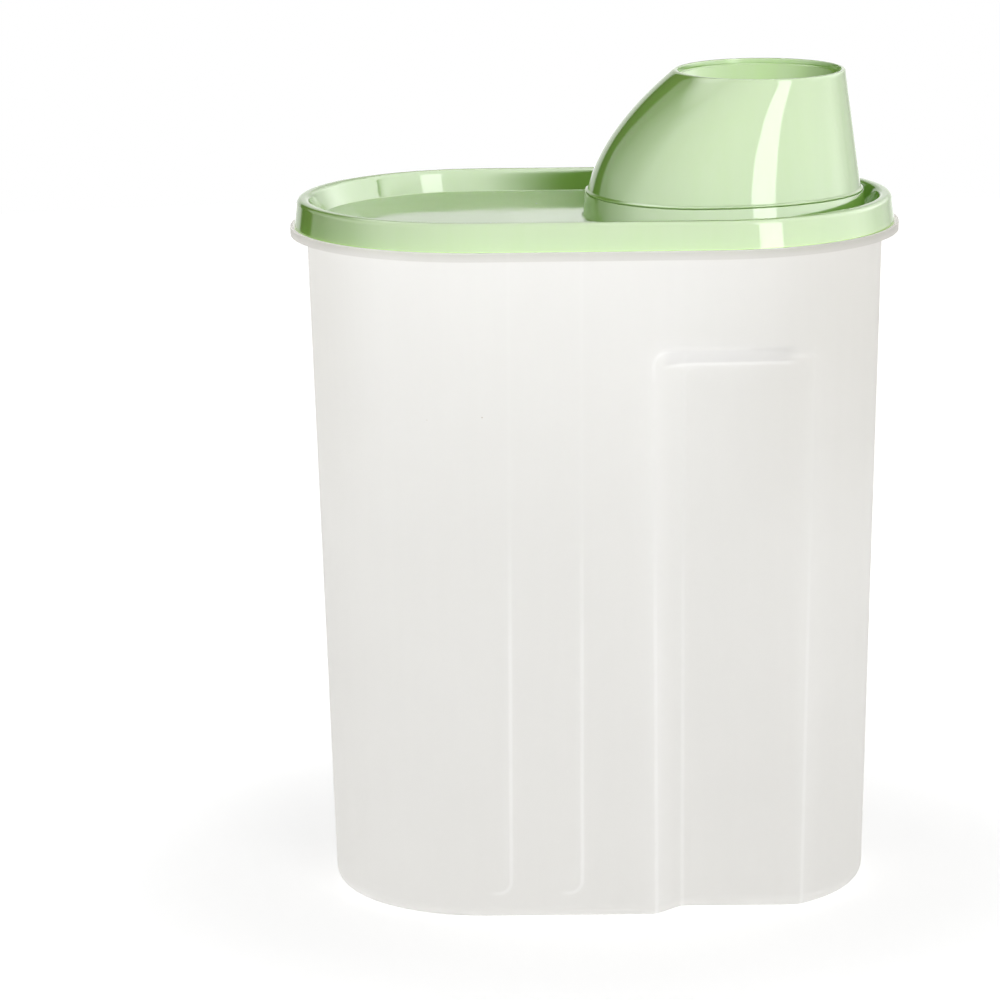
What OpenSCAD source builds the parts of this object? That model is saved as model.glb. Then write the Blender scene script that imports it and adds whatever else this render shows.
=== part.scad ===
// Oval keeper for dry food: a clear container, a press-on lid with a sunken deck,
// and a measuring cup that plugs upside down into the lid's pouring collar.

/* [Container] */
// Length over the flange, along X
overall_len = 190; // [180:1:215]
// Depth over the flange, along Y
overall_depth = 119; // [112:1:130]
// Height of the flange's underside
shoulder_z = 209.7; // [190:0.1:240]
// What each side draws in between the shoulder and the base
side_draft = 5.8; // [4:0.1:8]
// Thickness of the container's walls
wall = 1.6; // [1.2:0.1:2]
// Thickness of the container's floor
floor_thick = 2; // [1.6:0.1:3]
// Radius of the heel, where the walls turn into the floor
heel_r = 4.8; // [4:0.1:8]

/* [Grips] */
// Where a grip's sloped side meets its floor at the base, along X
grip_x = 25.2; // [15:0.1:35]
// Distance from the middle plane to a grip's floor at the base
grip_floor_y = 40.2; // [36:0.1:44]
// Height at which the sloped ceiling of a grip meets the outer wall
grip_top_z = 181; // [120:1:185]

/* [Lid] */
// Height of the lid's rim above the flange's underside
rim_rise = 11.3; // [10.5:0.1:14]
// How far the sunken deck lies below the rim
deck_drop = 6.8; // [5:0.1:7.5]
// Thickness of the lid's deck
deck_thick = 1.3; // [1:0.1:1.8]
// How far the sealing ring reaches below the deck
plug_depth = 7.4; // [4:0.1:12]

/* [Pouring collar] */
// Half the collar's width, across Y
collar_half_wid = 40; // [36:0.1:42]
// Length of the collar, along X
collar_len = 87; // [80:0.5:90]
// Gap between the collar and the rim at the lid's right end
collar_gap = 4.9; // [3.5:0.1:8]
// Height of the collar above the deck
collar_h = 7.6; // [6:0.1:10]
// Thickness of the collar
collar_wall = 1.3; // [1:0.1:1.8]
// Width of the ledge between the collar and the pour opening
ledge = 3; // [2:0.1:5]

/* [Measuring cup] */
// Radius of the cup's foot, which is on top when the cup is in place
foot_r = 26.7; // [22:0.1:30]
// Height of the cup above the collar
cup_h = 37.5; // [30:0.1:45]
// Thickness of the cup's walls
cup_wall = 1.3; // [1:0.1:1.8]
// Depth of the recess inside the foot
foot_recess = 8; // [5:0.1:12]
// How deep the cup's mouth plugs into the collar
cup_plug = 6.2; // [4:0.1:7]

/* [Hidden] */
$fn = 96;

clear = 0.3;                                   // running gap between parts that come apart
half_straight = (overall_len - overall_depth) / 2;
flange_r = overall_depth / 2;                  // half-depth at the flange's outer edge
shoulder_r = flange_r - 5.15;                  // half-depth of the outer wall at the shoulder
base_r = shoulder_r - side_draft;
far = 80;                                      // a reach beyond every wall

// Flange and neck, as half-depths and heights
flange_top_z = shoulder_z + 1.3;
lip_thick = 0.9;
lip_top_z = shoulder_z + 2.7;
neck_out_r = flange_r - 3.2;
neck_thick = 1.2;
neck_top_z = shoulder_z + 7.3;

// Lid, as half-depths and heights
rim_z = shoulder_z + rim_rise;
deck_z = rim_z - deck_drop;
skirt_z = flange_top_z + clear;
skirt_thick = 1;
skirt_r = flange_r - lip_thick - clear;        // outer face at the skirt's lower edge
crown_r = skirt_r - 1.15;                      // outer face at the rim
crown_wid = 3.5;
rim_wall_r = crown_r - crown_wid;              // visible inner face of the rim
rim_back_r = neck_out_r - neck_thick - clear;  // hidden face of the rim's inner wall
plug_r = shoulder_r - wall - 0.55;
plug_thick = 1.2;

// Collar and cup share one egg-shaped outline, blunt on the left and narrow on the right
collar_top_z = deck_z + collar_h;
collar_right = half_straight + rim_wall_r - collar_gap;
egg_mid_x = collar_right - 0.58 * collar_len;  // where the outline is widest
egg_right = 0.58 * collar_len;
egg_left = 0.42 * collar_len;
foot_x = collar_right - 32.5;                  // centre of the cup's round foot
cup_z = collar_top_z + clear;                  // underside of the cup's lip
lip_h = 0.7;                                   // height of the lip that rests on the collar
lip_inset = 0.25;                              // lip stands this far inside the collar's face
wall_inset = 0.95;                             // cup wall stands this far inside the collar's face
foot_z = cup_z + cup_h;
foot_step = 1.9;                               // height of the thin foot ring

// ---- outlines ----

function unit(v) = v / norm(v);
function turned(v, a) = [v.x * cos(a) - v.y * sin(a), v.x * sin(a) + v.y * cos(a)];

// Points of the arc that rounds corner b, between neighbours a and c, with radius r
function corner(a, b, c, r, n) =
    let (u = unit(a - b), v = unit(c - b), half = acos(u * v) / 2)
    let (centre = b + unit(u + v) * r / sin(half), start = b + u * r / tan(half))
    let (side = u.x * v.y - u.y * v.x > 0 ? -1 : 1)
    [for (k = [0:n]) centre + turned(start - centre, side * (180 - 2 * half) * k / n)];

// A closed outline from [x, y, radius] corners
function outline(pts, n = 6) =
    let (m = len(pts), at = [for (p = pts) [p.x, p.y]])
    [for (i = [0:m - 1]) each pts[i].z == 0 ? [at[i]]
        : corner(at[(i + m - 1) % m], at[i], at[(i + 1) % m], pts[i].z, n)];

function wall_r(z) = base_r + (shoulder_r - base_r) * z / shoulder_z;

// Egg-shaped ring: two half ellipses that meet where the ring is widest
function egg(mid, left, right, wid, n = 72) =
    [for (i = [0:n - 1]) let (a = 360 * i / n)
        [mid + (cos(a) < 0 ? left : right) * cos(a), wid * sin(a)]];
function collar_egg(inset) =
    egg(egg_mid_x, egg_left - inset, egg_right - inset, collar_half_wid - inset);

// Ring of the cup's wall at height share t, drawn in by inset
function mix(a, b, t) = a + (b - a) * t;
function cup_left(t) = mix(egg_mid_x - egg_left + wall_inset, foot_x - foot_r, 0.35 * t + 0.65 * t * t);
function cup_right(t) = mix(collar_right - wall_inset, foot_x + foot_r, t);
function cup_ring(t, inset) =
    let (mid = mix(egg_mid_x, foot_x, t * t))
    let (wid = mix(collar_half_wid - wall_inset, foot_r, 0.75 * t + 0.25 * t * t))
    egg(mid, mid - cup_left(t) - inset, cup_right(t) - mid - inset, wid - inset);

// ---- building blocks ----

// Sweeps a [half-depth, height] outline round the oval
module oval_sweep(profile) {
    for (side = [-1, 1])
        translate([side * half_straight, 0, 0])
            rotate([0, 0, -90 * side])
                rotate_extrude(angle = 180)
                    polygon(profile);
    along_x(-half_straight, half_straight)
        for (flip = [0, 1])
            mirror([flip, 0])
                polygon(profile);
}

// Draws a [y, z] outline out along X
module along_x(x0, x1) {
    translate([x0, 0, 0])
        rotate([90, 0, 90])
            linear_extrude(x1 - x0)
                children();
}

// Skin over a stack of rings, each with the same number of points, closed at both ends
module loft(rings, heights) {
    n = len(rings[0]);
    m = len(rings);
    points = [for (k = [0:m - 1]) each [for (p = rings[k]) [p.x, p.y, heights[k]]]];
    sides = [for (k = [0:m - 2], i = [0:n - 1]) let (j = (i + 1) % n)
        [k * n + i, (k + 1) * n + i, (k + 1) * n + j, k * n + j]];
    bottom = [for (i = [0:n - 1]) i];
    top = [for (i = [n - 1:-1:0]) (m - 1) * n + i];
    polyhedron(points, concat([bottom], sides, [top]), convexity = 4);
}

module egg_prism(inset, z0, z1) {
    translate([0, 0, z0])
        linear_extrude(z1 - z0)
            polygon(collar_egg(inset));
}

// ---- container ----

// Outer shape of the tub below the flange, drawn in by t on every side
module tub(t) {
    top = shoulder_z + (t > 0 ? 5 : 1);
    foot = t > 0 ? floor_thick : 0;
    oval_sweep(outline([
        [0, foot, 0],
        [wall_r(foot) - t, foot, heel_r - t],
        [wall_r(top) - t, top, 0],
        [0, top, 0]], 8));
}

// Space that one hand grip takes out of the tub, grown by t on every side
module grip(t) {
    slope = 44;                                // angle of the sloped side from the floor's normal
    lean_y = 1.1;                              // draft of the grip's floor
    lean_x = 0.9;                              // lean of the sloped side
    ceiling = 34;                              // tilt of the ceiling
    reach = far - grip_floor_y;
    x0 = grip_x - t * (1 - sin(slope)) / cos(slope);
    y0 = grip_floor_y - t;
    wall_top = wall_r(grip_top_z);
    intersection() {
        rotate([lean_y, lean_x, 0])
            translate([0, 0, -10])
                linear_extrude(shoulder_z)
                    polygon(outline([
                        [x0, -y0, 3 + t],
                        [x0 - reach * tan(slope), -far, 0],
                        [2 * far, -far, 0],
                        [2 * far, -y0, 0]]));
        along_x(-far, 2 * far)
            polygon([
                [-far, -10],
                [-far, grip_top_z + t + (far - wall_top) * tan(ceiling)],
                [0, grip_top_z + t - wall_top * tan(ceiling)],
                [0, -10]]);
    }
    // heel of the grip's floor
    along_x(grip_x, 2 * far)
        polygon(outline([
            [-y0 - 1, -1, 0],
            [-y0 - 1, heel_r, 0],
            [-y0 - heel_r * tan(lean_y), heel_r, 0],
            each heel_arc(y0, t),
            [-y0 + heel_r - t, -1, 0]]));
}

// Corners of the rounded edge between a grip's floor and the tub's floor
function heel_arc(y0, t) =
    [for (k = [1:6]) let (a = 15 * k, r = heel_r - t)
        [-y0 + r - r * cos(a), heel_r - r * sin(a), 0]];

// Flange with its upturned lip, and the neck that stands inside the lid's rim
module flange_and_neck() {
    inner = shoulder_r - wall - 2;             // the tub's inside is cut through it
    lip_r = flange_r - lip_thick;
    oval_sweep(outline([
        [inner, shoulder_z, 0],
        [flange_r, shoulder_z, 0.6],
        [flange_r, lip_top_z, 0.4],
        [lip_r, lip_top_z, 0.4],
        [lip_r, flange_top_z, 0],
        [neck_out_r, flange_top_z, 0],
        [neck_out_r, neck_top_z, 0.5],
        [neck_out_r - neck_thick, neck_top_z, 0.5],
        [neck_out_r - neck_thick, flange_top_z, 0],
        [inner, flange_top_z, 0]], 3));
}

module container() {
    color([0.93, 0.93, 0.91, 0.55])
        difference() {
            union() {
                tub(0);
                flange_and_neck();
            }
            for (face = [0, 1])
                mirror([0, face, 0])
                    grip(0);
            difference() {
                tub(wall);
                for (face = [0, 1])
                    mirror([0, face, 0])
                        grip(wall);
            }
        }
}

// ---- lid ----

// Skirt, rolled rim, sunken deck and sealing ring as one section
module lid_shell() {
    channel_z = rim_z - 1.2;
    deck_under_z = deck_z - deck_thick;
    oval_sweep(outline([
        [0, deck_under_z, 0],
        [plug_r - plug_thick, deck_under_z, 0],
        [plug_r - plug_thick, deck_under_z - plug_depth, 0.3],
        [plug_r, deck_under_z - plug_depth, 0.5],
        [plug_r, deck_under_z, 0],
        [rim_back_r, deck_under_z, 0],
        [rim_back_r, channel_z, 0],
        [crown_r - skirt_thick, channel_z, 0],
        [skirt_r - skirt_thick, skirt_z, 0],
        [skirt_r, skirt_z, 0.3],
        [crown_r, rim_z, 1.5],
        [rim_wall_r, rim_z, 1.5],
        [rim_wall_r - 0.2, deck_z, 1],
        [0, deck_z, 0]], 6));
}

module lid() {
    color([0.80, 0.91, 0.70])
        difference() {
            union() {
                lid_shell();
                egg_prism(0, deck_z - 0.5, collar_top_z);
                egg_prism(-0.5, deck_z - 0.5, deck_z + 0.8);
            }
            egg_prism(collar_wall, deck_z, collar_top_z + 1);
            egg_prism(collar_wall + ledge, deck_z - deck_thick - 1, deck_z + 1);
        }
}

// ---- measuring cup ----

module cup_skin(inset, top_share) {
    steps = 12;
    shares = [for (k = [0:steps]) top_share * k / steps];
    z0 = cup_z + lip_h;
    loft([for (t = shares) cup_ring(t, inset)], [for (t = shares) mix(z0, foot_z, t)]);
}

module measuring_cup() {
    plug_out = collar_wall + 0.35;
    plug_in = plug_out + 1.2;
    pocket_r = foot_r - 2.3;
    color([0.80, 0.91, 0.70])
        difference() {
            union() {
                cup_skin(0, 1);
                egg_prism(lip_inset, cup_z, cup_z + lip_h);
                egg_prism(plug_out, cup_z - cup_plug, cup_z + lip_h);
            }
            // inside of the cup, up to the recess in its foot
            egg_prism(plug_in, cup_z - cup_plug - 1, cup_z + lip_h + 0.01);
            difference() {
                cup_skin(plug_in - wall_inset, 0.94);
                translate([foot_x, 0, foot_z - foot_recess - cup_wall])
                    cylinder(h = far, r1 = pocket_r + 0.6, r2 = pocket_r + 7.5);
            }
            // foot ring, with the deeper recess inside it
            translate([foot_x, 0, foot_z - foot_step])
                cylinder(h = foot_step + 1, r = foot_r - cup_wall);
            translate([foot_x, 0, foot_z - foot_recess])
                cylinder(h = foot_recess, r1 = pocket_r - 0.8, r2 = pocket_r);
        }
}

container();
lid();
measuring_cup();
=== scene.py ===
"""Cereal container with a press-on lid and a measuring cup that plugs its pouring collar."""

from math import cos, pi, radians, sin, sqrt, tan

import bmesh
import bpy
from mathutils import Matrix, Vector


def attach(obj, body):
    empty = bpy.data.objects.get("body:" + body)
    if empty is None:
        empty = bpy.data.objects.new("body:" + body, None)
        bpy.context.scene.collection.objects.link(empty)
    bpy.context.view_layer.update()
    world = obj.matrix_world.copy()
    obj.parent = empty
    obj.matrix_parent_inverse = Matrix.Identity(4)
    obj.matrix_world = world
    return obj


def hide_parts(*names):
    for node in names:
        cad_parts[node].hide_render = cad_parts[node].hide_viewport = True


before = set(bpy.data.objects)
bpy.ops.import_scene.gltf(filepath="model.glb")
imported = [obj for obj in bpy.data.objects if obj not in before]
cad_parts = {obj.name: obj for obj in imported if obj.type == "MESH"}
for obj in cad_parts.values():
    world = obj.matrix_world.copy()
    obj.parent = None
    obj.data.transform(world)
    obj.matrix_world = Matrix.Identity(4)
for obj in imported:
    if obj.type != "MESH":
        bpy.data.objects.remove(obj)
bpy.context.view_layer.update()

# ---------------------------------------------------------------------------
# Container. One injection moulding in natural polypropylene: an oval tub that
# narrows towards its heel, a hand grip pressed into each long side, two shallow
# ribs beside each grip, and a flange and neck that the lid snaps over.

HALF_STRAIGHT = 0.0355
SHOULDER_Z, SHOULDER_R, BASE_R = 0.2097, 0.05435, 0.04855
WALL, FLOOR, HEEL = 0.0016, 0.002, 0.0048
FLANGE_R, FLANGE_LIP_R, FLANGE_TOP, FLANGE_FLOOR = 0.0595, 0.0586, 0.2124, 0.2110
NECK_R, NECK_BORE_R, NECK_TOP = 0.0563, 0.0551, 0.2170


def wall_r(z):
    return BASE_R + (SHOULDER_R - BASE_R) * z / SHOULDER_Z


def steps(start, stop, count):
    """Evenly spaced values from start up to stop, without stop."""
    return [start + (stop - start) * k / count for k in range(count)]


def pick(test):
    """Selects the vertices of the mesh in edit mode whose place passes the test."""
    bpy.ops.mesh.select_all(action="DESELECT")
    mesh = bmesh.from_edit_mesh(bpy.context.object.data)
    for vert in mesh.verts:
        vert.select_set(test(vert.co))
    mesh.select_flush_mode()
    bmesh.update_edit_mesh(bpy.context.object.data)


def start_piece(name):
    """A new object at the origin, in edit mode, holding one vertex there."""
    bpy.ops.object.select_all(action="DESELECT")
    bpy.ops.mesh.primitive_plane_add(size=0.001)
    piece = bpy.context.object
    piece.name = piece.data.name = name
    bpy.ops.object.mode_set(mode="EDIT")
    bpy.ops.mesh.select_mode(type="VERT")
    bpy.ops.mesh.merge(type="CENTER")
    return piece


def draw_section(x, corners):
    """Draws a half section in the plane at x through (half-depth, height, radius) corners.

    The corners that have a radius are rounded.
    """
    at = (0, 0, 0)
    for depth, height, _ in corners:
        move = (x - at[0], -depth - at[1], height - at[2])
        if at == (0, 0, 0):
            bpy.ops.transform.translate(value=move)
        else:
            bpy.ops.mesh.extrude_vertices_move(TRANSFORM_OT_translate={"value": move})
        at = (x, -depth, height)
    for before, (depth, height, radius), after in zip(corners, corners[1:], corners[2:]):
        if radius:
            here = Vector((depth, height))
            a, b = (Vector(c[:2]) - here for c in (before, after))
            tangent = radius / tan(a.angle(b) / 2)
            pick(lambda co: (co - Vector((x, -depth, height))).length < 1e-7)
            bpy.ops.mesh.bevel(offset=tangent, segments=6, profile=0.5, affect="VERTICES")


def sweep_oval(right_turns, front_moves, left_turns):
    """Carries the section round the oval: right end, straight back, left end, straight front."""
    bpy.ops.mesh.select_all(action="SELECT")
    for side, turns, moves in (
        (1, right_turns, [-m for m in front_moves]),
        (-1, left_turns, list(reversed(front_moves))),
    ):
        for angle, count in turns:
            bpy.ops.mesh.spin(
                steps=count,
                angle=radians(angle),
                center=(side * HALF_STRAIGHT, 0, 0),
                axis=(0, 0, -1),
            )
        for move in moves:
            bpy.ops.mesh.extrude_region_move(TRANSFORM_OT_translate={"value": (move, 0, 0)})
    bpy.ops.mesh.select_all(action="SELECT")
    bpy.ops.mesh.remove_doubles(threshold=2e-6)
    bpy.ops.mesh.normals_make_consistent(inside=False)


def leave_smooth():
    """Leaves edit mode, and smooths all but the sharp folds."""
    bpy.ops.object.mode_set(mode="OBJECT")
    bpy.ops.object.shade_smooth_by_angle(angle=radians(35))


container = start_piece("container_tub")
# Rows lie close together at the heel and at the grips' top
outer_heights = (
    steps(0.0065, 0.0145, 10)
    + steps(0.0145, 0.166, 16)
    + steps(0.166, 0.186, 36)
    + [0.186, 0.196]
)
draw_section(
    HALF_STRAIGHT,
    [(0, 0, 0), (BASE_R, 0, HEEL)]
    + [(wall_r(z), z, 0) for z in outer_heights]
    + [
        (SHOULDER_R, SHOULDER_Z, 0.0004),
        (FLANGE_R, SHOULDER_Z, 0.0006),
        (FLANGE_R, FLANGE_TOP, 0.0004),
        (FLANGE_LIP_R, FLANGE_TOP, 0.0004),
        (FLANGE_LIP_R, FLANGE_FLOOR, 0.0003),
        (NECK_R, FLANGE_FLOOR, 0.0003),
        (NECK_R, NECK_TOP, 0.0005),
        (NECK_BORE_R, NECK_TOP, 0.0005),
        (NECK_BORE_R, FLANGE_FLOOR, 0.0003),
        (wall_r(FLANGE_FLOOR) - WALL, FLANGE_FLOOR, 0.0003),
    ]
    + [(wall_r(z) - WALL, z, 0) for z in reversed(outer_heights[10:])]
    + [(wall_r(FLOOR) - WALL, FLOOR, HEEL - WALL), (0, FLOOR, 0)],
)
# Columns lie close together where the grips' edges and the ribs come
front_columns = (
    steps(0.0355, 0.0285, 3)
    + steps(0.0285, 0.0240, 13)
    + steps(0.0240, 0.0190, 5)
    + steps(0.0190, 0.0150, 12)
    + steps(0.0150, -0.0035, 5)
    + steps(-0.0035, -0.0095, 12)
    + steps(-0.0095, -0.0215, 4)
    + steps(-0.0215, -0.0315, 16)
    + [-0.0315, -0.0355]
)
sweep_oval(
    [(30.5, 9), (8, 13), (103, 26), (8, 13), (30.5, 9)],
    [a - b for a, b in zip(front_columns, front_columns[1:])],
    [(180, 45)],
)

# The grips and ribs press the smooth tub's skin in or out along Y. A lean is how far
# an edge or a floor moves, to the right or outwards, for each metre that it climbs.
PLAIN_ABOVE, GRIP_START = 0.187, 0.008
GRIP_X, GRIP_Y, GRIP_TOP = 0.0252, 0.0402, 0.1812
GRIP_LEAN, GRIP_FLOOR_LEAN = 0.0067, 0.0193
GRIP_SLOPE, GRIP_CEILING = radians(44), radians(34)
SOFT_FOLD, SOFT_CORNER = 0.0012, 0.0060
RIB_EDGES, RIB_WIDTH, RIB_RISE = (-0.0283, -0.0062), 0.0065, 0.00055
RIB_LEAN, RIB_STEP = 0.006, 0.0014
RIB_FOOT, RIB_FADE, RIB_FADE_LENGTH = 0.0085, 0.165, 0.13


def eased_min(a, b, width):
    """The lesser of a and b, with the corner between them rounded over width."""
    near = max(width - abs(a - b), 0) / width
    return min(a, b) - near * near * width / 4


def heel_inset(z, radius, floor):
    """How far the rounded heel draws the wall in at height z."""
    low = max(floor + radius - z, 0)
    return radius - sqrt(max(radius * radius - low * low, 0))


def grip_depth(x, z, t):
    """Half-depth of a grip's skin, t inside the outer face."""
    floor = GRIP_Y + GRIP_FLOOR_LEAN * z - t
    edge = GRIP_X + GRIP_LEAN * z - t * (1 - sin(GRIP_SLOPE)) / cos(GRIP_SLOPE)
    slope = floor + (edge - x) / tan(GRIP_SLOPE)
    around = min(max(x - HALF_STRAIGHT, 0), 0.05)
    bend = wall_r(GRIP_TOP) - sqrt(wall_r(GRIP_TOP) ** 2 - around**2)
    ceiling = wall_r(GRIP_TOP) - 0.4 * bend + (z - GRIP_TOP - 1.2 * t) / tan(GRIP_CEILING)
    rim = -eased_min(-slope, -ceiling, SOFT_CORNER)
    return -eased_min(-floor, -rim, SOFT_FOLD)


def rib_rise(x, z):
    """How far the ribs stand out at a place.

    Each climbs slowly to the right and ends in a step, and all fade upwards.
    """
    rise = 0
    for edge in RIB_EDGES:
        edge = edge + RIB_LEAN * (z - RIB_FOOT)
        climb = min(max((x - edge + RIB_WIDTH) / RIB_WIDTH, 0), 1)
        reach = min(max((edge - x) / RIB_STEP, -0.5), 3.5) + 0.5
        foot = min(max((z - RIB_FOOT) / RIB_STEP, -0.5), 3.5) + 0.5
        corner = 4 - sqrt(max(4 - reach, 0) ** 2 + max(4 - foot, 0) ** 2)
        step = min(max(corner, 0), 1)
        rise += climb * climb * (3 - 2 * climb) * step * step * (3 - 2 * step)
    return RIB_RISE * rise * min(max((RIB_FADE - z) / RIB_FADE_LENGTH, 0), 1)


bpy.ops.object.mode_set(mode="OBJECT")
for vert in container.data.vertices:
    x, y, z = vert.co
    if z > PLAIN_ABOVE:
        continue
    straight_x = min(max(x, -HALF_STRAIGHT), HALF_STRAIGHT)
    depth = sqrt((x - straight_x) ** 2 + y * y)
    outside = depth + heel_inset(z, HEEL, 0) > wall_r(z) - WALL / 2
    t = 0 if outside else WALL
    inset = heel_inset(z, HEEL - t, FLOOR if t else 0)
    if depth + inset < wall_r(z) - t - 1e-4:
        continue
    pressed = abs(y)
    if outside and abs(x) < HALF_STRAIGHT:
        pressed += rib_rise(x, z)
    if x > GRIP_START:
        pressed = eased_min(pressed, grip_depth(x, z, t) - inset, SOFT_FOLD)
    vert.co.y = pressed if y > 0 else -pressed
bpy.ops.object.mode_set(mode="EDIT")
leave_smooth()
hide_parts("container")
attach(container, "container")


def new_group(name, inputs, outputs):
    """An empty shader node group with those sockets: its tree, input node and output node."""
    tree = bpy.data.node_groups.new(name, "ShaderNodeTree")
    for socket, kind, value in inputs:
        made = tree.interface.new_socket(socket, in_out="INPUT", socket_type=kind)
        if value is not None:
            made.default_value = value
    for socket in outputs:
        tree.interface.new_socket(socket, in_out="OUTPUT", socket_type="NodeSocketFloat")
    return tree, tree.nodes.new("NodeGroupInput"), tree.nodes.new("NodeGroupOutput")


def add_node(tree, kind, settings, values):
    """Adds a node, sets its properties, and sets or links its input sockets."""
    node = tree.nodes.new(kind)
    for setting, value in settings.items():
        setattr(node, setting, value)
    for socket, value in values.items():
        if isinstance(value, bpy.types.NodeSocket):
            tree.links.new(value, node.inputs[socket])
        else:
            node.inputs[socket].default_value = value
    return node


def calculate(tree, operation, a, b=0.0, c=0.0):
    return add_node(
        tree, "ShaderNodeMath", {"operation": operation}, {0: a, 1: b, 2: c}
    ).outputs[0]


def product(tree, first, *others):
    for other in others:
        first = calculate(tree, "MULTIPLY", first, other)
    return first


def mix_colours(tree, share, a, b, blend="MIX"):
    """Mixes colour b into colour a by share."""
    return add_node(
        tree, "ShaderNodeMix", {"data_type": "RGBA", "blend_type": blend},
        {0: share, 6: a, 7: b},
    ).outputs[2]


def remap(tree, value, low, high, to_low=0.0, to_high=1.0):
    """Maps low..high to to_low..to_high with a smooth start and end."""
    return add_node(
        tree, "ShaderNodeMapRange", {"interpolation_type": "SMOOTHSTEP"},
        {0: value, 1: low, 2: high, 3: to_low, 4: to_high},
    ).outputs[0]


def noise(tree, vector, scale, detail):
    return add_node(
        tree, "ShaderNodeTexNoise", {}, {"Vector": vector, "Scale": scale, "Detail": detail}
    ).outputs["Fac"]


# What the mould leaves in the skin: slow sinks and ripples, a fine satin grain,
# and flow streaks that run up the wall from the gate
moulded_skin, given, made = new_group(
    "moulded_skin",
    [
        ("Place", "NodeSocketVector", None),
        ("Ripple", "NodeSocketFloat", 0.1),
        ("Grain Scale", "NodeSocketFloat", 2500.0),
        ("Grain", "NodeSocketFloat", 0.02),
    ],
    ["Height", "Streaks", "Cloud"],
)
ripple = noise(moulded_skin, given.outputs["Place"], 38.0, 1.0)
grain = noise(moulded_skin, given.outputs["Place"], given.outputs["Grain Scale"], 3.0)
drawn = add_node(
    moulded_skin, "ShaderNodeMapping", {},
    {"Vector": given.outputs["Place"], "Scale": (1.0, 1.0, 0.07)},
).outputs[0]
streaks = noise(moulded_skin, drawn, 240.0, 4.0)
height = calculate(
    moulded_skin, "ADD",
    product(moulded_skin, ripple, given.outputs["Ripple"]),
    product(moulded_skin, grain, given.outputs["Grain"]),
)
cloud = noise(moulded_skin, given.outputs["Place"], 16.0, 3.0)
moulded_skin.links.new(height, made.inputs["Height"])
moulded_skin.links.new(remap(moulded_skin, streaks, 0.35, 0.65), made.inputs["Streaks"])
moulded_skin.links.new(remap(moulded_skin, cloud, 0.35, 0.65), made.inputs["Cloud"])

# Traces of use: hair scratches, and a few specks of settled dust
use_marks, given, made = new_group(
    "use_marks",
    [("Place", "NodeSocketVector", None), ("Speck Size", "NodeSocketFloat", 0.02)],
    ["Scratches", "Specks"],
)
slanted = add_node(
    use_marks, "ShaderNodeMapping", {},
    {
        "Vector": given.outputs["Place"],
        "Rotation": (0.4, 0.9, 0.6),
        "Scale": (1.0, 0.03, 1.0),
    },
).outputs[0]
scratches = noise(use_marks, slanted, 1400.0, 2.0)
cells = add_node(
    use_marks, "ShaderNodeTexVoronoi", {"feature": "F1"},
    {"Vector": given.outputs["Place"], "Scale": 60.0},
)
chance = add_node(
    use_marks, "ShaderNodeSeparateColor", {}, {0: cells.outputs["Color"]}
).outputs[0]
size = product(use_marks, remap(use_marks, chance, 0.55, 1.0), given.outputs["Speck Size"])
use_marks.links.new(remap(use_marks, scratches, 0.66, 0.72), made.inputs["Scratches"])
use_marks.links.new(
    calculate(use_marks, "LESS_THAN", cells.outputs["Distance"], size),
    made.inputs["Specks"],
)


def new_plastic(name, colours, speck, gloss, ripple, grain, grain_scale, bump):
    """A Principled plastic: its colour clouds between two tones, its gloss is streaked.

    Gives the material, its shader, and the colour that feeds the shader.
    """
    material = bpy.data.materials.new(name)
    material.use_nodes = True
    tree = material.node_tree
    shell = tree.nodes["Principled BSDF"]
    place = tree.nodes.new("ShaderNodeTexCoord").outputs["Object"]
    skin = add_node(
        tree, "ShaderNodeGroup", {"node_tree": moulded_skin},
        {"Place": place, "Ripple": ripple, "Grain": grain, "Grain Scale": grain_scale},
    )
    marks = add_node(tree, "ShaderNodeGroup", {"node_tree": use_marks}, {"Place": place})
    mottle = calculate(
        tree, "MULTIPLY_ADD", skin.outputs["Streaks"], 0.4,
        product(tree, skin.outputs["Cloud"], 0.6),
    )
    tone = mix_colours(tree, mottle, (*colours[0], 1), (*colours[1], 1))
    dusted = mix_colours(tree, marks.outputs["Specks"], tone, (*speck, 1))
    tree.links.new(dusted, shell.inputs["Base Color"])
    rough = remap(tree, skin.outputs["Streaks"], 0.0, 1.0, *gloss)
    rough = calculate(tree, "MULTIPLY_ADD", marks.outputs["Scratches"], 0.06, rough)
    tree.links.new(rough, shell.inputs["Roughness"])
    relief = add_node(
        tree, "ShaderNodeBump", {},
        {"Height": skin.outputs["Height"], "Strength": 1.0, "Distance": bump},
    )
    tree.links.new(relief.outputs[0], shell.inputs["Normal"])
    return material, shell, dusted


natural_plastic, shell, plain_colour = new_plastic(
    "natural_polypropylene",
    colours=((0.902, 0.899, 0.892), (0.892, 0.889, 0.882)),
    speck=(0.55, 0.50, 0.42),
    gloss=(0.34, 0.42),
    ripple=1.0,
    grain=0.03,
    grain_scale=2600.0,
    bump=0.0004,
)
shell.inputs["IOR"].default_value = 1.49
shell.inputs["Transmission Weight"].default_value = 0.3
tree = natural_plastic.node_tree

# Painted highlights: where the skin folds sharply, a whiter line is painted into the colour,
# standing in for the light that the fold catches
GRIP_LEFT_X, GRIP_LEFT_LEAN, GRIP_RIGHT_X, GRIP_RIGHT_LEAN = 0.0171, -0.0014, 0.0627, 0.0205
SHELF_Z, FOLD_HALF_WIDTH = 0.1750, 0.0009
spot = tree.nodes.new("ShaderNodeTexCoord").outputs["Object"]
across, depth, up = add_node(tree, "ShaderNodeSeparateXYZ", {}, {0: spot}).outputs


def right_of(start, lean):
    """Distance to the right of an edge that starts at the foot and leans as it climbs."""
    return calculate(tree, "SUBTRACT", across, calculate(tree, "MULTIPLY_ADD", up, lean, start))


def left_of(start, lean):
    return calculate(tree, "SUBTRACT", calculate(tree, "MULTIPLY_ADD", up, lean, start), across)


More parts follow.
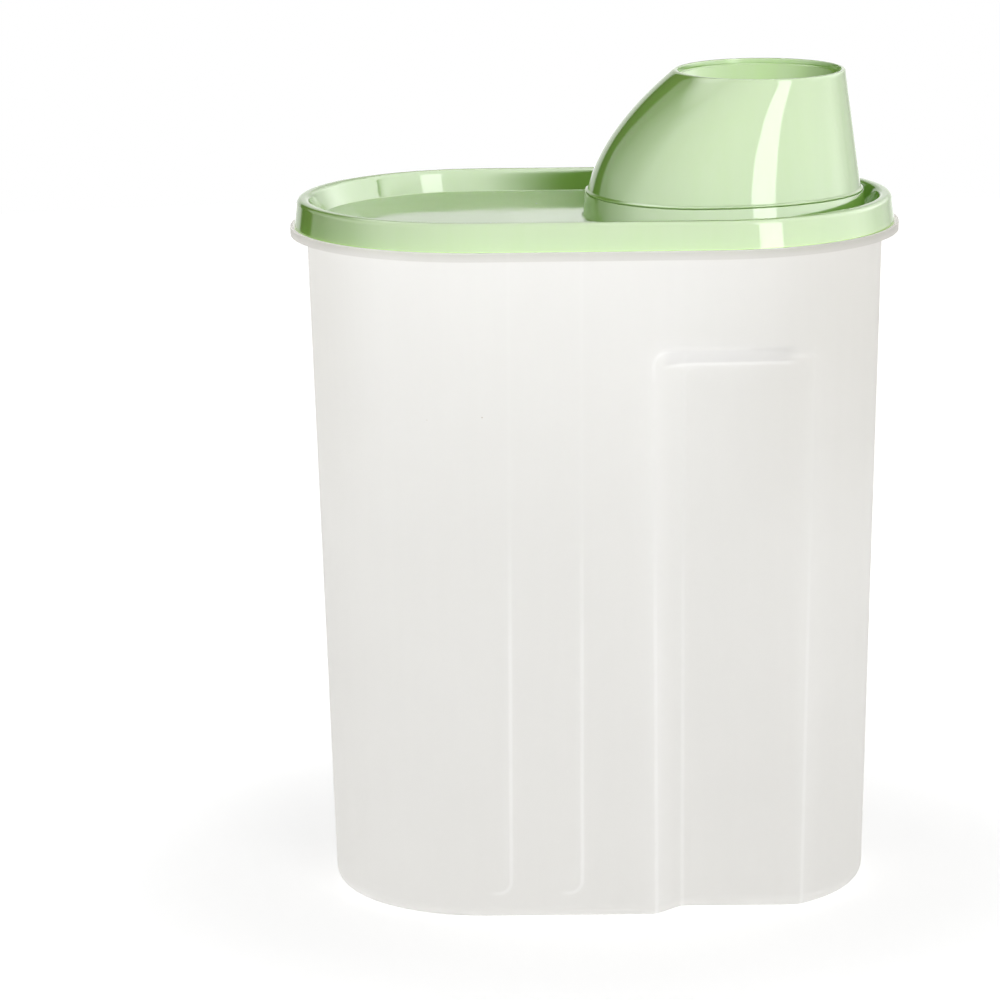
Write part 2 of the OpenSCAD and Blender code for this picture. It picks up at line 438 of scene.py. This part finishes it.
def fold_line(distance):
    """A soft line where the distance is nought."""
    distance = calculate(tree, "ABSOLUTE", distance)
    return remap(tree, distance, 0.2 * FOLD_HALF_WIDTH, FOLD_HALF_WIDTH, 1.0, 0.0)


def inside_corner(right, above, radius):
    """Distance inside a boundary that runs up and turns through a rounded corner."""
    a, b = (
        calculate(tree, "MAXIMUM", calculate(tree, "SUBTRACT", radius, side), 0.0)
        for side in (right, above)
    )
    square = calculate(tree, "MULTIPLY_ADD", a, a, product(tree, b, b))
    return calculate(tree, "SUBTRACT", radius, calculate(tree, "SQRT", square))


# The painted highlight lines are plain low down on the wall, and faint above
low_down = remap(tree, up, 0.075, 0.135, 0.6, 0.08)
painted_fold_highlights = 0.0
for edge in RIB_EDGES:
    reach = left_of(edge, RIB_LEAN)
    rise = calculate(tree, "SUBTRACT", up, RIB_FOOT)
    line = product(
        tree, fold_line(inside_corner(reach, rise, 0.004)),
        remap(tree, reach, 0.003, 0.008, 1.0, 0.0), low_down,
    )
    painted_fold_highlights = calculate(tree, "MAXIMUM", painted_fold_highlights, line)
grip_left = right_of(GRIP_LEFT_X, GRIP_LEFT_LEAN)
grip_fold = right_of(GRIP_X, GRIP_LEAN)
grip_right = left_of(GRIP_RIGHT_X, GRIP_RIGHT_LEAN)
under_top = calculate(tree, "SUBTRACT", GRIP_TOP - 0.0008, up)
under_shelf = calculate(tree, "SUBTRACT", SHELF_Z, up)
along_shelf = product(
    tree, remap(tree, grip_left, 0.002, 0.006), remap(tree, grip_right, 0.004, 0.010)
)
near_top = remap(tree, under_top, 0.004, 0.012, 0.5, 0.0)
folds = [
    # the grip's rim, round its left corner
    product(
        tree, fold_line(inside_corner(grip_left, under_top, 0.0045)),
        calculate(tree, "MAXIMUM", low_down, near_top),
        remap(tree, grip_left, 0.003, 0.009, 1.0, 0.0),
    ),
    # its inner fold and its right edge
    product(
        tree, calculate(tree, "MAXIMUM", fold_line(grip_fold), fold_line(grip_right)),
        low_down, 0.7,
    ),
    # the shelf under its ceiling
    product(tree, fold_line(under_shelf), along_shelf, 0.5),
]
in_grip = product(
    tree, calculate(tree, "GREATER_THAN", across, 0.010),
    remap(tree, grip_right, -0.0010, 0.0), remap(tree, under_top, -0.0010, 0.0010),
)
for fold in folds:
    painted_fold_highlights = calculate(tree, "MAXIMUM", painted_fold_highlights, product(tree, fold, in_grip))
on_side = calculate(tree, "GREATER_THAN", calculate(tree, "ABSOLUTE", depth), 0.03)

# Painted shade: the colour is darker at the round ends towards the top, where they
# are seen edge on, along the heel, in the flange, and in the grips' ceilings
ends = calculate(
    tree, "MAXIMUM", remap(tree, across, 0.020, 0.088),
    remap(tree, across, -0.088, -0.064, 0.6, 0.0),
)
edge_shade = calculate(
    tree, "MAXIMUM", product(tree, ends, remap(tree, up, 0.10, 0.21, 0.2, 1.0)),
    product(tree, on_side, remap(tree, up, 0.0010, 0.0055, 0.35, 0.0)),
)
flange_shade = remap(tree, up, 0.2090, 0.2098)
ceiling_shade = product(
    tree, remap(tree, under_top, -0.0012, 0.0002),
    remap(tree, under_shelf, -0.0010, -0.0002, 1.0, 0.0), along_shelf, on_side,
)
# Painted shade: each of these masks multiplies the colour darker
colour = plain_colour
for share, shade in (
    (edge_shade, (0.92, 0.915, 0.905, 1)),
    (flange_shade, (0.97, 0.965, 0.96, 1)),
    (ceiling_shade, (0.93, 0.93, 0.935, 1)),
):
    colour = mix_colours(tree, share, colour, shade, "MULTIPLY")
# Painted highlight: white is mixed into the colour along the folds and the ribs' edges
colour = mix_colours(tree, product(tree, painted_fold_highlights, on_side), colour, (1, 1, 1, 1))
tree.links.new(colour, shell.inputs["Base Color"])

# Most of the light goes through the wall and scatters, so it is four fifths
# translucent, and the thin flange also lets a little of what is behind it show
glow_through = add_node(tree, "ShaderNodeBsdfTranslucent", {}, {0: colour})
blend = add_node(
    tree, "ShaderNodeMixShader", {}, {0: 0.80, 1: shell.outputs[0], 2: glow_through.outputs[0]}
)
see_through = tree.nodes.new("ShaderNodeBsdfTransparent")
clear = product(
    tree, remap(tree, up, 0.2092, 0.2100, 0.0, 0.12),
    remap(tree, up, FLANGE_TOP - 0.0002, FLANGE_TOP + 0.0002, 1.0, 0.0),
)
wall = add_node(
    tree, "ShaderNodeMixShader", {}, {0: clear, 1: blend.outputs[0], 2: see_through.outputs[0]}
)
tree.links.new(wall.outputs[0], tree.nodes["Material Output"].inputs[0])
container.data.materials.append(natural_plastic)

# ---------------------------------------------------------------------------
# Lid. One moulding in green polypropylene: a rolled rim with an outer skirt, a
# sunken deck, a sealing ring below it, and the egg-shaped pouring collar.

DECK_Z, DECK_UNDER_Z, RIM_TOP = 0.2142, 0.2129, 0.2210
SEAL_FOOT, SKIRT_FOOT, COLLAR_TOP = 0.2085, 0.2113, 0.2218


def plain_sweep():
    sweep_oval([(180, 60)], [2 * HALF_STRAIGHT], [(180, 60)])


lid = start_piece("lid_moulding")
draw_section(
    HALF_STRAIGHT,
    [
        # the deck's underside and the sealing ring
        (0, DECK_UNDER_Z, 0),
        (0.0510, DECK_UNDER_Z, 0.0003),
        (0.0510, SEAL_FOOT, 0.0003),
        (0.0522, SEAL_FOOT, 0.0005),
        (0.0522, DECK_UNDER_Z, 0.0003),
        # the groove that takes the tub's neck
        (0.0548, DECK_UNDER_Z, 0),
        (0.0548, 0.2198, 0),
        (0.05615, 0.2198, 0),
        # the skirt
        (0.0573, SKIRT_FOOT, 0),
        (0.0583, SKIRT_FOOT, 0.0003),
        (0.05824, 0.2118, 0),
        (0.05734, 0.2194, 0),
        # the rolled rim, and its inner wall down to the deck
        (0.05715, RIM_TOP, 0.0015),
        (0.0537, RIM_TOP, 0.0015),
        (0.05312, 0.2196, 0),
        (0.05111, 0.2147, 0),
        (0.0509, DECK_Z, 0.0003),
        (0, DECK_Z, 0),
    ],
)
plain_sweep()
leave_smooth()
GREEN_TONES = ((0.45, 0.765, 0.185), (0.435, 0.75, 0.17))
green_plastic, shell, _ = new_plastic(
    "green_polypropylene",
    colours=GREEN_TONES,
    speck=(0.50, 0.55, 0.40),
    gloss=(0.05, 0.075),
    ripple=1.0,
    grain=0.01,
    grain_scale=1800.0,
    bump=0.0002,
)
shell.inputs["IOR"].default_value = 1.58
shell.inputs["Subsurface Weight"].default_value = 0.15
shell.inputs["Subsurface Radius"].default_value = (0.6, 1.0, 0.4)
shell.inputs["Subsurface Scale"].default_value = 0.002
lid.data.materials.append(green_plastic)

# The collar follows an egg, blunt on the left: (middle, left, right, half-width)
COLLAR_EGG = (0.03365, 0.03654, 0.05046, 0.0400)


def egg_inside(inset):
    middle, left, right, half_width = COLLAR_EGG
    return (middle, left - inset, right - inset, half_width - inset)


def first_ring(egg, height):
    """Adds a ring of edges in edit mode, shaped to the egg at that height."""
    middle, left, right, half_width = egg
    bpy.ops.mesh.primitive_circle_add(vertices=144, radius=1, location=(0, 0, height))
    mesh = bmesh.from_edit_mesh(bpy.context.object.data)
    for vert in (v for v in mesh.verts if v.select):
        vert.co.x = middle + vert.co.x * (right if vert.co.x > 0 else left)
        vert.co.y *= half_width
    bmesh.update_edit_mesh(bpy.context.object.data)
    return egg


def next_ring(egg, to, height):
    """Extrudes the selected ring, and carries the new ring to another egg and height."""
    bpy.ops.mesh.extrude_region_move()
    mesh = bmesh.from_edit_mesh(bpy.context.object.data)
    for vert in (v for v in mesh.verts if v.select):
        away = vert.co.x - egg[0]
        vert.co.x = to[0] + away * (to[2] / egg[2] if away > 0 else to[1] / egg[1])
        vert.co.y *= to[3] / egg[3]
        vert.co.z = height
    bmesh.update_edit_mesh(bpy.context.object.data)
    return to


def egg_rings(path):
    """Draws a skin through (egg, height) rings."""
    egg = first_ring(*path[0])
    for to, height in path[1:]:
        egg = next_ring(egg, to, height)


opening = start_piece("opening_cutter")
opening_egg = egg_inside(0.0007)
egg_rings([(opening_egg, DECK_UNDER_Z - 0.002), (opening_egg, DECK_Z + 0.002)])
bpy.ops.mesh.select_all(action="SELECT")
bpy.ops.mesh.select_non_manifold()
bpy.ops.mesh.fill_holes(sides=0)
bpy.ops.mesh.select_all(action="SELECT")
bpy.ops.mesh.normals_make_consistent(inside=False)
leave_smooth()

collar = start_piece("collar_ring")
# Its section, as (how far inside the egg, height)
section = [
    (0.0008, DECK_UNDER_Z + 0.0004),
    (-0.0011, DECK_Z - 0.0004),
    (-0.0011, DECK_Z),
    (-0.0008, DECK_Z + 0.0001),
    (-0.0006, DECK_Z + 0.0003),
    (-0.0005, DECK_Z + 0.0006),
    (0.0, COLLAR_TOP - 0.0002),
    (0.00005, COLLAR_TOP - 0.00005),
    (0.0002, COLLAR_TOP),
    (0.0009, COLLAR_TOP),
    (0.0012, COLLAR_TOP - 0.00015),
    (0.0013, COLLAR_TOP - 0.0004),
    (0.0013, DECK_Z + 0.0003),
    (0.0016, DECK_Z),
    (0.0041, DECK_Z),
    (0.0043, DECK_Z - 0.0002),
    (0.0043, DECK_UNDER_Z + 0.0002),
    (0.0041, DECK_UNDER_Z),
]
egg_rings([(egg_inside(i), z) for i, z in section + section[:1]])
bpy.ops.mesh.select_all(action="SELECT")
bpy.ops.mesh.remove_doubles(threshold=2e-6)
bpy.ops.mesh.delete_loose()
bpy.ops.mesh.select_all(action="SELECT")
bpy.ops.mesh.normals_make_consistent(inside=False)
leave_smooth()


def combine(piece, other, operation):
    """Cuts the other mesh out of the piece, or adds it, and removes the other object."""
    step = piece.modifiers.new(operation.lower(), "BOOLEAN")
    step.operation, step.solver, step.object = operation, "EXACT", other
    bpy.ops.object.select_all(action="DESELECT")
    bpy.context.view_layer.objects.active = piece
    bpy.ops.object.modifier_apply(modifier=step.name)
    bpy.data.objects.remove(other)


combine(lid, opening, "DIFFERENCE")
combine(lid, collar, "UNION")
bpy.context.view_layer.objects.active = lid
bpy.ops.object.mode_set(mode="EDIT")
leave_smooth()

# The large level faces are shaded flat, so that the gloss on the deck lies even
bpy.ops.object.mode_set(mode="EDIT")
bpy.ops.mesh.select_mode(type="FACE")
bpy.ops.mesh.select_all(action="DESELECT")
mesh = bmesh.from_edit_mesh(lid.data)
for face in mesh.faces:
    face.select_set(face.calc_area() > 5e-6 and abs(face.normal.z) > 0.999)
bmesh.update_edit_mesh(lid.data)
bpy.ops.mesh.faces_shade_flat()
bpy.ops.object.mode_set(mode="OBJECT")
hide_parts("lid")
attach(lid, "lid")
# The light that reaches the tub through the lid stays white
lid.visible_transmission = False

# ---------------------------------------------------------------------------
# Measuring cup. A thin moulding in the lid's green polypropylene, upside down in
# the collar: its mouth is egg-shaped and its foot round.

CUP_Z, LIP_TOP, FOOT_Z = 0.22185, 0.2228, 0.2596
FOOT_X, FOOT_R = 0.05161, 0.0267
CUP_INSET, CUP_WALL, FOOT_TURN = 0.00095, 0.0019, 0.988


def mixed(a, b, share):
    return a + (b - a) * share


def cup_egg(share, inset):
    """Ring of the cup's wall at a share of its height, drawn in by inset.

    The left side sweeps over to the foot, and the right side is straight.
    """
    middle, left, right, half_width = egg_inside(CUP_INSET)
    left_x = mixed(middle - left, FOOT_X - FOOT_R, 0.35 * share + 0.65 * share**2)
    right_x = mixed(middle + right, FOOT_X + FOOT_R, share)
    depth = mixed(half_width, FOOT_R, 0.75 * share + 0.25 * share**2)
    middle = mixed(middle, FOOT_X, share**2)
    return (middle, middle - left_x - inset, right_x - middle - inset, depth - inset)


def foot_circle(radius):
    return (FOOT_X, radius, radius, radius)


def cup_height(share):
    return mixed(LIP_TOP, FOOT_Z, share)


cup = start_piece("cup_moulding")
outside = [(cup_egg(s, 0), cup_height(s)) for s in steps(0, FOOT_TURN, 30)]
inside = [(cup_egg(s, CUP_WALL), cup_height(s)) for s in steps(0.86, 0.02, 24)]
egg_rings(
    [
        # the cup's bottom, then down its inside
        (foot_circle(0.001), FOOT_Z - 0.0093),
        (foot_circle(0.0244), FOOT_Z - 0.0093),
        (foot_circle(0.0249), FOOT_Z - 0.0090),
        (foot_circle(0.0249), FOOT_Z - 0.0058),
    ]
    + inside
    + [
        # the plug wall and the lip, then up the outside
        (egg_inside(0.00285), LIP_TOP),
        (egg_inside(0.00285), CUP_Z - 0.0062),
        (egg_inside(0.00195), CUP_Z - 0.0062),
        (egg_inside(0.00165), CUP_Z - 0.0058),
        (egg_inside(0.00165), CUP_Z),
        (egg_inside(0.00030), CUP_Z),
        (egg_inside(0.00020), CUP_Z + 0.00005),
        (egg_inside(0.00015), CUP_Z + 0.0002),
        (egg_inside(0.00020), CUP_Z + 0.0005),
        (egg_inside(0.00050), CUP_Z + 0.0007),
    ]
    + outside
    + [
        (cup_egg(FOOT_TURN, 0.0), cup_height(FOOT_TURN)),
        (cup_egg(0.995, 0.0001), cup_height(0.995)),
        # the foot ring
        (foot_circle(FOOT_R - 0.0004), FOOT_Z),
        (foot_circle(FOOT_R - 0.0009), FOOT_Z),
        (foot_circle(FOOT_R - 0.0012), FOOT_Z - 0.0001),
        (foot_circle(FOOT_R - 0.0013), FOOT_Z - 0.0004),
        (foot_circle(FOOT_R - 0.0014), FOOT_Z - 0.0016),
        (foot_circle(FOOT_R - 0.0017), FOOT_Z - 0.0019),
        # the recess
        (foot_circle(0.0246), FOOT_Z - 0.0019),
        (foot_circle(0.0244), FOOT_Z - 0.0021),
        (foot_circle(0.0227), FOOT_Z - 0.0070),
        (foot_circle(0.0221), FOOT_Z - 0.0077),
        (foot_circle(0.0212), FOOT_Z - 0.0080),
        (foot_circle(0.001), FOOT_Z - 0.0080),
    ]
)
bpy.ops.mesh.select_all(action="SELECT")
bpy.ops.mesh.delete_loose()
bpy.ops.mesh.select_all(action="DESELECT")
bpy.ops.mesh.select_non_manifold()
bpy.ops.mesh.fill_holes(sides=0)
bpy.ops.mesh.select_all(action="SELECT")
bpy.ops.mesh.normals_make_consistent(inside=False)
leave_smooth()
cup.data.materials.append(green_plastic)
# The recess in the foot is satin from the mould
satin_plastic, shell, _ = new_plastic(
    "satin_green_polypropylene",
    colours=GREEN_TONES,
    speck=(0.50, 0.55, 0.40),
    gloss=(0.15, 0.19),
    ripple=1.0,
    grain=0.03,
    grain_scale=1800.0,
    bump=0.0002,
)
cup.data.materials.append(satin_plastic)
for face in cup.data.polygons:
    place = face.center
    from_axis = Vector((place.x - FOOT_X, place.y)).length
    if place.z > FOOT_Z - 0.0085 and from_axis < FOOT_R - 0.0013:
        face.material_index = 1
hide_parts("measuring_cup")
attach(cup, "measuring_cup")
cup.visible_transmission = False

# ---------------------------------------------------------------------------
# Studio. A white paper floor, a tall strip softbox and a soft key at the front right,
# a soft light overhead, and a room that gloss sees bright in front and dim behind.

bpy.ops.object.select_all(action="DESELECT")
bpy.ops.mesh.primitive_circle_add(vertices=96, radius=1.4, fill_type="NGON")
floor = bpy.context.object
floor.name = "floor"
paper = bpy.data.materials.new("white_paper")
paper.use_nodes = True
tree = paper.node_tree
sheet = tree.nodes["Principled BSDF"]
sheet.inputs["Roughness"].default_value = 0.7
sheet.inputs["Specular IOR Level"].default_value = 0
path = tree.nodes.new("ShaderNodeLightPath")
seen = calculate(
    tree, "MAXIMUM", path.outputs["Is Camera Ray"], path.outputs["Is Transmission Ray"]
)
tone = mix_colours(tree, seen, (0.92, 0.92, 0.915, 1), (0.98, 0.98, 0.98, 1))
tree.links.new(tone, sheet.inputs["Base Color"])
away = add_node(
    tree, "ShaderNodeVectorMath", {"operation": "LENGTH"},
    {0: tree.nodes.new("ShaderNodeTexCoord").outputs["Object"]},
).outputs["Value"]
# Seen by the camera it glows to white, less near the tub, where its shadow stays
glow = product(tree, seen, remap(tree, away, 0.08, 0.32, 0.48, 1.0))
sheet.inputs["Emission Color"].default_value = (1, 1, 1, 1)
tree.links.new(glow, sheet.inputs["Emission Strength"])
floor.data.materials.append(paper)

# Painted shade: a black card over the deck beside the cup, which only gloss sees, and only
# from behind the card. It darkens the rim's back wall where the cup's shade falls, and thins out
# towards its left end
SHADE_CARD_LEFT, SHADE_CARD_RIGHT, SHADE_CARD_Y, SHADE_CARD_FOOT, SHADE_CARD_TOP = -0.044, 0.008, 0.030, 0.222, 0.257
shade_card = start_piece("painted_shade_card")
bpy.ops.transform.translate(value=(SHADE_CARD_LEFT, SHADE_CARD_Y, SHADE_CARD_FOOT))
bpy.ops.mesh.extrude_vertices_move(
    TRANSFORM_OT_translate={"value": (SHADE_CARD_RIGHT - SHADE_CARD_LEFT, 0, 0)}
)
bpy.ops.mesh.select_all(action="SELECT")
bpy.ops.mesh.extrude_region_move(
    TRANSFORM_OT_translate={"value": (0, 0, SHADE_CARD_TOP - SHADE_CARD_FOOT)}
)
bpy.ops.mesh.select_all(action="SELECT")
bpy.ops.mesh.normals_make_consistent(inside=False)
# The card faces the front
mesh = bmesh.from_edit_mesh(shade_card.data)
mesh.normal_update()
if sum(face.normal.y for face in mesh.faces) > 0:
    bpy.ops.mesh.flip_normals()
bpy.ops.object.mode_set(mode="OBJECT")
shade_card.visible_camera = shade_card.visible_diffuse = shade_card.visible_transmission = False
shade_card.visible_shadow = False
shade_card_material = bpy.data.materials.new("painted_shade_black")
shade_card_material.use_nodes = True
tree = shade_card_material.node_tree
card = tree.nodes["Principled BSDF"]
card.inputs["Base Color"].default_value = (0, 0, 0, 1)
card.inputs["Specular IOR Level"].default_value = 0
spot = add_node(
    tree, "ShaderNodeSeparateXYZ", {}, {0: tree.nodes.new("ShaderNodeTexCoord").outputs["Object"]}
)
inward = calculate(
    tree, "SUBTRACT", spot.outputs["X"],
    remap(tree, spot.outputs["Z"], 0.234, 0.242, 0.0, 0.020),
)
behind = tree.nodes.new("ShaderNodeNewGeometry").outputs["Backfacing"]
# Painted shade: how much of the card blacks out the gloss
cover = product(tree, remap(tree, inward, -0.043, -0.006), behind)
tree.links.new(cover, card.inputs["Alpha"])
shade_card.data.materials.append(shade_card_material)


def area_light(name, place, aim, size, power):
    data = bpy.data.lights.new(name, "AREA")
    data.shape, data.size, data.size_y = "RECTANGLE", size[0], size[1]
    data.energy = power
    lamp = bpy.data.objects.new(name, data)
    bpy.context.collection.objects.link(lamp)
    facing = (Vector(aim) - Vector(place)).to_track_quat("-Z", "Y").to_matrix().to_4x4()
    lamp.matrix_world = Matrix.Translation(place) @ facing
    return lamp


strip = area_light("strip_softbox", (0.815, -1.07, 0.55), (0.03, 0, 0.20), (0.35, 1.4), 8.5)
strip.visible_diffuse = strip.visible_transmission = False
key = area_light("key_softbox", (0.45, -1.26, 0.60), (0.02, 0, 0.18), (0.6, 0.8), 2.85)
key.visible_glossy = False
overhead = area_light("overhead_softbox", (0.1, -0.2, 1.7), (0, 0, 0.1), (1.4, 1.4), 1.1)
overhead.visible_glossy = False

world = bpy.data.worlds.new("studio")
bpy.context.scene.world = world
world.use_nodes = True
tree = world.node_tree
background = tree.nodes["Background"]
background.inputs["Color"].default_value = (1, 1, 1, 1)
look = add_node(
    tree, "ShaderNodeSeparateXYZ", {},
    {0: tree.nodes.new("ShaderNodeTexCoord").outputs["Generated"]},
)
# The room's brightness goes by the angle round from the front, which is 0, and
# the higher a direction points, the more the angle is turned towards the middle
azimuth = calculate(tree, "ARCTAN2", look.outputs["X"], product(tree, look.outputs["Y"], -1.0))
lifted = calculate(tree, "MINIMUM", calculate(tree, "MAXIMUM", look.outputs["Z"], 0.0), 0.25)
azimuth = calculate(
    tree, "MULTIPLY_ADD", lifted, remap(tree, azimuth, -1.2, 1.2, 0.95, -1.5), azimuth
)
turn_share = calculate(tree, "MULTIPLY_ADD", azimuth, 0.5 / pi, 0.5)
room = tree.nodes.new("ShaderNodeValToRGB")
tree.links.new(turn_share, room.inputs["Fac"])
while len(room.color_ramp.elements) > 1:
    room.color_ramp.elements.remove(room.color_ramp.elements[-1])
# As (degrees round to the right, level), with a dark gap at the back on the left
for k, (degrees, level) in enumerate(
    [
        (-180, 1.5),
        (-165, 1.1),
        (-150, 1.0),
        (-147, 0.0),
        (-130, 0.0),
        (-127, 0.8),
        (-115, 1.2),
        (-85, 3.8),
        (-60, 6.8),
        (-35, 8.0),
        (0, 9.2),
        (60, 9.4),
        (100, 7.4),
        (125, 3.2),
        (150, 1.2),
        (180, 1.5),
    ]
):
    share = degrees / 360 + 0.5
    stop = room.color_ramp.elements[0] if k == 0 else room.color_ramp.elements.new(share)
    stop.position, stop.color = share, (level, level, level, 1)
# Only a first shine sees that room. The camera sees it white, light on its way
# through the tub's wall finds it brighter still, and other light even and dim.
EVEN_LEVEL, THROUGH_LEVEL = 0.30, 1.575
path = tree.nodes.new("ShaderNodeLightPath")
shown = calculate(
    tree, "MAXIMUM", path.outputs["Is Camera Ray"],
    product(tree, path.outputs["Is Transmission Ray"], THROUGH_LEVEL),
)
first_shine = product(
    tree, path.outputs["Is Glossy Ray"],
    calculate(tree, "LESS_THAN", path.outputs["Diffuse Depth"], 0.5),
)
above = remap(tree, look.outputs["Z"], 0.60, 0.85, 0.0, 7.0)
room_light = add_node(
    tree, "ShaderNodeMix", {"data_type": "FLOAT"},
    {
        0: first_shine,
        2: EVEN_LEVEL,
        3: calculate(tree, "MAXIMUM", room.outputs["Color"], above),
    },
).outputs[0]
strength = calculate(tree, "MAXIMUM", room_light, shown)
tree.links.new(strength, background.inputs["Strength"])

# Camera: 46 cm up and a metre and a half in front, looking down at 12 degrees
data = bpy.data.cameras.new("camera")
camera = bpy.data.objects.new("camera", data)
bpy.context.collection.objects.link(camera)
data.sensor_width, data.lens = 36, 174.77496
data.clip_end = 30
camera.location = (-0.02583, -1.50009, 0.45521)
YAW, PITCH, ROLL = 0.0031, 0.2177, 0.0120
turn = Matrix.Rotation(YAW, 4, "Z") @ Matrix.Rotation(pi / 2 - PITCH, 4, "X")
turn = turn @ Matrix.Rotation(-ROLL, 4, "Z")
camera.rotation_mode = "QUATERNION"
camera.rotation_quaternion = turn.to_quaternion()
bpy.context.scene.camera = camera
bpy.context.scene.view_settings.view_transform = "Standard"
